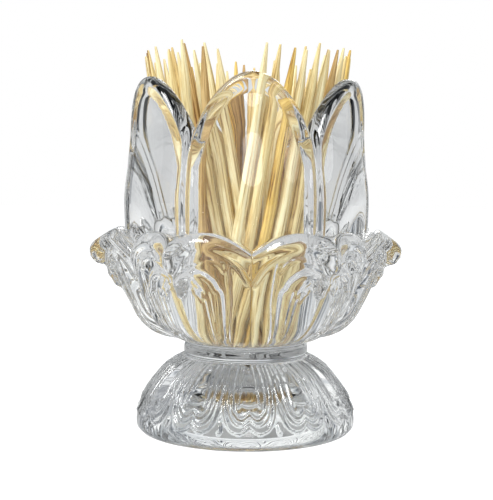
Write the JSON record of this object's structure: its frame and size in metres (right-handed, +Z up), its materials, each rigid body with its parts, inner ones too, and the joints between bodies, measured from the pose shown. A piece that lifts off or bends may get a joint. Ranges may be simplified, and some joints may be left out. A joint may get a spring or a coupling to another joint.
{
  "type": "toothpick holder",
  "caption": "Pressed clear-glass lotus-flower toothpick holder on a footed base, with round wooden toothpicks standing loose in its conical well.",
  "frame": {"origin": "centre of the foot's resting plane", "axes": "+Z up along the vessel's axis; -Y is the front, through the middle of an upright petal; +X to the right"},
  "size_m": [0.0724, 0.0638, 0.0865],
  "materials": {
    "clear_glass": "fire-polished",
    "pale_wood": "raw, sanded"
  },
  "bodies": {
    "vessel": {"glass_vessel": "clear_glass"},
    "toothpick_01": {"toothpick_01": "pale_wood"},
    "toothpick_02": {"toothpick_02": "pale_wood"},
    "toothpick_03": {"toothpick_03": "pale_wood"},
    "toothpick_04": {"toothpick_04": "pale_wood"},
    "toothpick_05": {"toothpick_05": "pale_wood"},
    "toothpick_06": {"toothpick_06": "pale_wood"},
    "toothpick_07": {"toothpick_07": "pale_wood"},
    "toothpick_08": {"toothpick_08": "pale_wood"},
    "toothpick_09": {"toothpick_09": "pale_wood"},
    "toothpick_10": {"toothpick_10": "pale_wood"},
    "toothpick_11": {"toothpick_11": "pale_wood"},
    "toothpick_12": {"toothpick_12": "pale_wood"},
    "toothpick_13": {"toothpick_13": "pale_wood"},
    "toothpick_14": {"toothpick_14": "pale_wood"},
    "toothpick_15": {"toothpick_15": "pale_wood"},
    "toothpick_16": {"toothpick_16": "pale_wood"},
    "toothpick_17": {"toothpick_17": "pale_wood"},
    "toothpick_18": {"toothpick_18": "pale_wood"},
    "toothpick_19": {"toothpick_19": "pale_wood"},
    "toothpick_20": {"toothpick_20": "pale_wood"},
    "toothpick_21": {"toothpick_21": "pale_wood"},
    "toothpick_22": {"toothpick_22": "pale_wood"},
    "toothpick_23": {"toothpick_23": "pale_wood"},
    "toothpick_24": {"toothpick_24": "pale_wood"},
    "toothpick_25": {"toothpick_25": "pale_wood"},
    "toothpick_26": {"toothpick_26": "pale_wood"},
    "toothpick_27": {"toothpick_27": "pale_wood"},
    "toothpick_28": {"toothpick_28": "pale_wood"},
    "toothpick_29": {"toothpick_29": "pale_wood"},
    "toothpick_30": {"toothpick_30": "pale_wood"},
    "toothpick_31": {"toothpick_31": "pale_wood"},
    "toothpick_32": {"toothpick_32": "pale_wood"},
    "toothpick_33": {"toothpick_33": "pale_wood"},
    "toothpick_34": {"toothpick_34": "pale_wood"},
    "toothpick_35": {"toothpick_35": "pale_wood"},
    "toothpick_36": {"toothpick_36": "pale_wood"},
    "toothpick_37": {"toothpick_37": "pale_wood"},
    "toothpick_38": {"toothpick_38": "pale_wood"},
    "toothpick_39": {"toothpick_39": "pale_wood"},
    "toothpick_40": {"toothpick_40": "pale_wood"},
    "toothpick_41": {"toothpick_41": "pale_wood"},
    "toothpick_42": {"toothpick_42": "pale_wood"},
    "toothpick_43": {"toothpick_43": "pale_wood"},
    "toothpick_44": {"toothpick_44": "pale_wood"},
    "toothpick_45": {"toothpick_45": "pale_wood"},
    "toothpick_46": {"toothpick_46": "pale_wood"},
    "toothpick_47": {"toothpick_47": "pale_wood"},
    "toothpick_48": {"toothpick_48": "pale_wood"},
    "toothpick_49": {"toothpick_49": "pale_wood"},
    "toothpick_50": {"toothpick_50": "pale_wood"},
    "toothpick_51": {"toothpick_51": "pale_wood"},
    "toothpick_52": {"toothpick_52": "pale_wood"},
    "toothpick_53": {"toothpick_53": "pale_wood"},
    "toothpick_54": {"toothpick_54": "pale_wood"},
    "toothpick_55": {"toothpick_55": "pale_wood"},
    "toothpick_56": {"toothpick_56": "pale_wood"},
    "toothpick_57": {"toothpick_57": "pale_wood"}
  },
  "joints": [
    {"name": "lift_01", "type": "slide", "parent": "vessel", "child": "toothpick_01", "axis": [0.1655, -0.143, 0.9758], "range_m": [0, 0.075]},
    {"name": "lift_02", "type": "slide", "parent": "vessel", "child": "toothpick_02", "axis": [0.175, -0.1227, 0.9769], "range_m": [0, 0.075]},
    {"name": "lift_03", "type": "slide", "parent": "vessel", "child": "toothpick_03", "axis": [0.1803, -0.1072, 0.9777], "range_m": [0, 0.075]},
    {"name": "lift_04", "type": "slide", "parent": "vessel", "child": "toothpick_04", "axis": [0.1891, -0.0837, 0.9784], "range_m": [0, 0.075]},
    {"name": "lift_05", "type": "slide", "parent": "vessel", "child": "toothpick_05", "axis": [0.1886, -0.0666, 0.9798], "range_m": [0, 0.075]},
    {"name": "lift_06", "type": "slide", "parent": "vessel", "child": "toothpick_06", "axis": [0.1886, -0.0485, 0.9808], "range_m": [0, 0.075]},
    {"name": "lift_07", "type": "slide", "parent": "vessel", "child": "toothpick_07", "axis": [0.1917, -0.0279, 0.9811], "range_m": [0, 0.075]},
    {"name": "lift_08", "type": "slide", "parent": "vessel", "child": "toothpick_08", "axis": [0.194, -0.0171, 0.9809], "range_m": [0, 0.075]},
    {"name": "lift_09", "type": "slide", "parent": "vessel", "child": "toothpick_09", "axis": [0.1957, 0.0104, 0.9806], "range_m": [0, 0.075]},
    {"name": "lift_10", "type": "slide", "parent": "vessel", "child": "toothpick_10", "axis": [0.1887, 0.047, 0.9809], "range_m": [0, 0.075]},
    {"name": "lift_11", "type": "slide", "parent": "vessel", "child": "toothpick_11", "axis": [0.1757, 0.0771, 0.9814], "range_m": [0, 0.075]},
    {"name": "lift_12", "type": "slide", "parent": "vessel", "child": "toothpick_12", "axis": [0.1543, 0.1136, 0.9815], "range_m": [0, 0.075]},
    {"name": "lift_13", "type": "slide", "parent": "vessel", "child": "toothpick_13", "axis": [0.1348, 0.1391, 0.9811], "range_m": [0, 0.075]},
    {"name": "lift_14", "type": "slide", "parent": "vessel", "child": "toothpick_14", "axis": [0.1065, 0.1644, 0.9806], "range_m": [0, 0.075]},
    {"name": "lift_15", "type": "slide", "parent": "vessel", "child": "toothpick_15", "axis": [0.0701, 0.1822, 0.9808], "range_m": [0, 0.075]},
    {"name": "lift_16", "type": "slide", "parent": "vessel", "child": "toothpick_16", "axis": [0.0395, 0.1885, 0.9813], "range_m": [0, 0.075]},
    {"name": "lift_17", "type": "slide", "parent": "vessel", "child": "toothpick_17", "axis": [-0.002, 0.1914, 0.9815], "range_m": [0, 0.075]},
    {"name": "lift_18", "type": "slide", "parent": "vessel", "child": "toothpick_18", "axis": [-0.0366, 0.1894, 0.9812], "range_m": [0, 0.075]},
    {"name": "lift_19", "type": "slide", "parent": "vessel", "child": "toothpick_19", "axis": [-0.0722, 0.1816, 0.9807], "range_m": [0, 0.075]},
    {"name": "lift_20", "type": "slide", "parent": "vessel", "child": "toothpick_20", "axis": [-0.1154, 0.1583, 0.9806], "range_m": [0, 0.075]},
    {"name": "lift_21", "type": "slide", "parent": "vessel", "child": "toothpick_21", "axis": [-0.1424, 0.1312, 0.9811], "range_m": [0, 0.075]},
    {"name": "lift_22", "type": "slide", "parent": "vessel", "child": "toothpick_22", "axis": [-0.168, 0.093, 0.9814], "range_m": [0, 0.075]},
    {"name": "lift_23", "type": "slide", "parent": "vessel", "child": "toothpick_23", "axis": [-0.1861, 0.052, 0.9812], "range_m": [0, 0.075]},
    {"name": "lift_24", "type": "slide", "parent": "vessel", "child": "toothpick_24", "axis": [-0.1954, 0.015, 0.9806], "range_m": [0, 0.075]},
    {"name": "lift_25", "type": "slide", "parent": "vessel", "child": "toothpick_25", "axis": [-0.1952, -0.0352, 0.9801], "range_m": [0, 0.075]},
    {"name": "lift_26", "type": "slide", "parent": "vessel", "child": "toothpick_26", "axis": [-0.1826, -0.0736, 0.9804], "range_m": [0, 0.075]},
    {"name": "lift_27", "type": "slide", "parent": "vessel", "child": "toothpick_27", "axis": [-0.1604, -0.1112, 0.9808], "range_m": [0, 0.075]},
    {"name": "lift_28", "type": "slide", "parent": "vessel", "child": "toothpick_28", "axis": [-0.1292, -0.1481, 0.9805], "range_m": [0, 0.075]},
    {"name": "lift_29", "type": "slide", "parent": "vessel", "child": "toothpick_29", "axis": [-0.1003, -0.1717, 0.98], "range_m": [0, 0.075]},
    {"name": "lift_30", "type": "slide", "parent": "vessel", "child": "toothpick_30", "axis": [-0.0563, -0.1948, 0.9792], "range_m": [0, 0.075]},
    {"name": "lift_31", "type": "slide", "parent": "vessel", "child": "toothpick_31", "axis": [0.1221, -0.2107, 0.9699], "range_m": [0, 0.075]},
    {"name": "lift_32", "type": "slide", "parent": "vessel", "child": "toothpick_32", "axis": [0.1368, -0.1879, 0.9726], "range_m": [0, 0.075]},
    {"name": "lift_33", "type": "slide", "parent": "vessel", "child": "toothpick_33", "axis": [0.1569, -0.1634, 0.974], "range_m": [0, 0.075]},
    {"name": "lift_34", "type": "slide", "parent": "vessel", "child": "toothpick_34", "axis": [-0.1691, -0.1177, 0.9785], "range_m": [0, 0.075]},
    {"name": "lift_35", "type": "slide", "parent": "vessel", "child": "toothpick_35", "axis": [-0.1598, -0.1478, 0.976], "range_m": [0, 0.075]},
    {"name": "lift_36", "type": "slide", "parent": "vessel", "child": "toothpick_36", "axis": [0.1088, -0.1158, 0.9873], "range_m": [0, 0.075]},
    {"name": "lift_37", "type": "slide", "parent": "vessel", "child": "toothpick_37", "axis": [0.1349, -0.0813, 0.9875], "range_m": [0, 0.075]},
    {"name": "lift_38", "type": "slide", "parent": "vessel", "child": "toothpick_38", "axis": [0.1511, -0.0484, 0.9873], "range_m": [0, 0.075]},
    {"name": "lift_39", "type": "slide", "parent": "vessel", "child": "toothpick_39", "axis": [0.1607, -0.0112, 0.9869], "range_m": [0, 0.075]},
    {"name": "lift_40", "type": "slide", "parent": "vessel", "child": "toothpick_40", "axis": [0.1585, 0.0323, 0.9868], "range_m": [0, 0.075]},
    {"name": "lift_41", "type": "slide", "parent": "vessel", "child": "toothpick_41", "axis": [0.1456, 0.0649, 0.9872], "range_m": [0, 0.075]},
    {"name": "lift_42", "type": "slide", "parent": "vessel", "child": "toothpick_42", "axis": [0.1217, 0.0995, 0.9876], "range_m": [0, 0.075]},
    {"name": "lift_43", "type": "slide", "parent": "vessel", "child": "toothpick_43", "axis": [0.0939, 0.1267, 0.9875], "range_m": [0, 0.075]},
    {"name": "lift_44", "type": "slide", "parent": "vessel", "child": "toothpick_44", "axis": [0.0634, 0.1472, 0.9871], "range_m": [0, 0.075]},
    {"name": "lift_45", "type": "slide", "parent": "vessel", "child": "toothpick_45", "axis": [0.0187, 0.1606, 0.9868], "range_m": [0, 0.075]},
    {"name": "lift_46", "type": "slide", "parent": "vessel", "child": "toothpick_46", "axis": [-0.0197, 0.159, 0.9871], "range_m": [0, 0.075]},
    {"name": "lift_47", "type": "slide", "parent": "vessel", "child": "toothpick_47", "axis": [-0.0598, 0.1459, 0.9875], "range_m": [0, 0.075]},
    {"name": "lift_48", "type": "slide", "parent": "vessel", "child": "toothpick_48", "axis": [-0.0973, 0.1235, 0.9876], "range_m": [0, 0.075]},
    {"name": "lift_49", "type": "slide", "parent": "vessel", "child": "toothpick_49", "axis": [-0.125, 0.099, 0.9872], "range_m": [0, 0.075]},
    {"name": "lift_50", "type": "slide", "parent": "vessel", "child": "toothpick_50", "axis": [-0.1499, 0.0603, 0.9869], "range_m": [0, 0.075]},
    {"name": "lift_51", "type": "slide", "parent": "vessel", "child": "toothpick_51", "axis": [-0.1596, 0.0209, 0.987], "range_m": [0, 0.075]},
    {"name": "lift_52", "type": "slide", "parent": "vessel", "child": "toothpick_52", "axis": [-0.1593, 0.0085, 0.9872], "range_m": [0, 0.075]},
    {"name": "lift_53", "type": "slide", "parent": "vessel", "child": "toothpick_53", "axis": [-0.1607, -0.0094, 0.987], "range_m": [0, 0.075]},
    {"name": "lift_54", "type": "slide", "parent": "vessel", "child": "toothpick_54", "axis": [-0.167, -0.0216, 0.9857], "range_m": [0, 0.075]},
    {"name": "lift_55", "type": "slide", "parent": "vessel", "child": "toothpick_55", "axis": [-0.1725, -0.0425, 0.9841], "range_m": [0, 0.075]},
    {"name": "lift_56", "type": "slide", "parent": "vessel", "child": "toothpick_56", "axis": [-0.1732, -0.0663, 0.9827], "range_m": [0, 0.075]},
    {"name": "lift_57", "type": "slide", "parent": "vessel", "child": "toothpick_57", "axis": [-0.1753, -0.086, 0.9807], "range_m": [0, 0.075]}
  ]
}
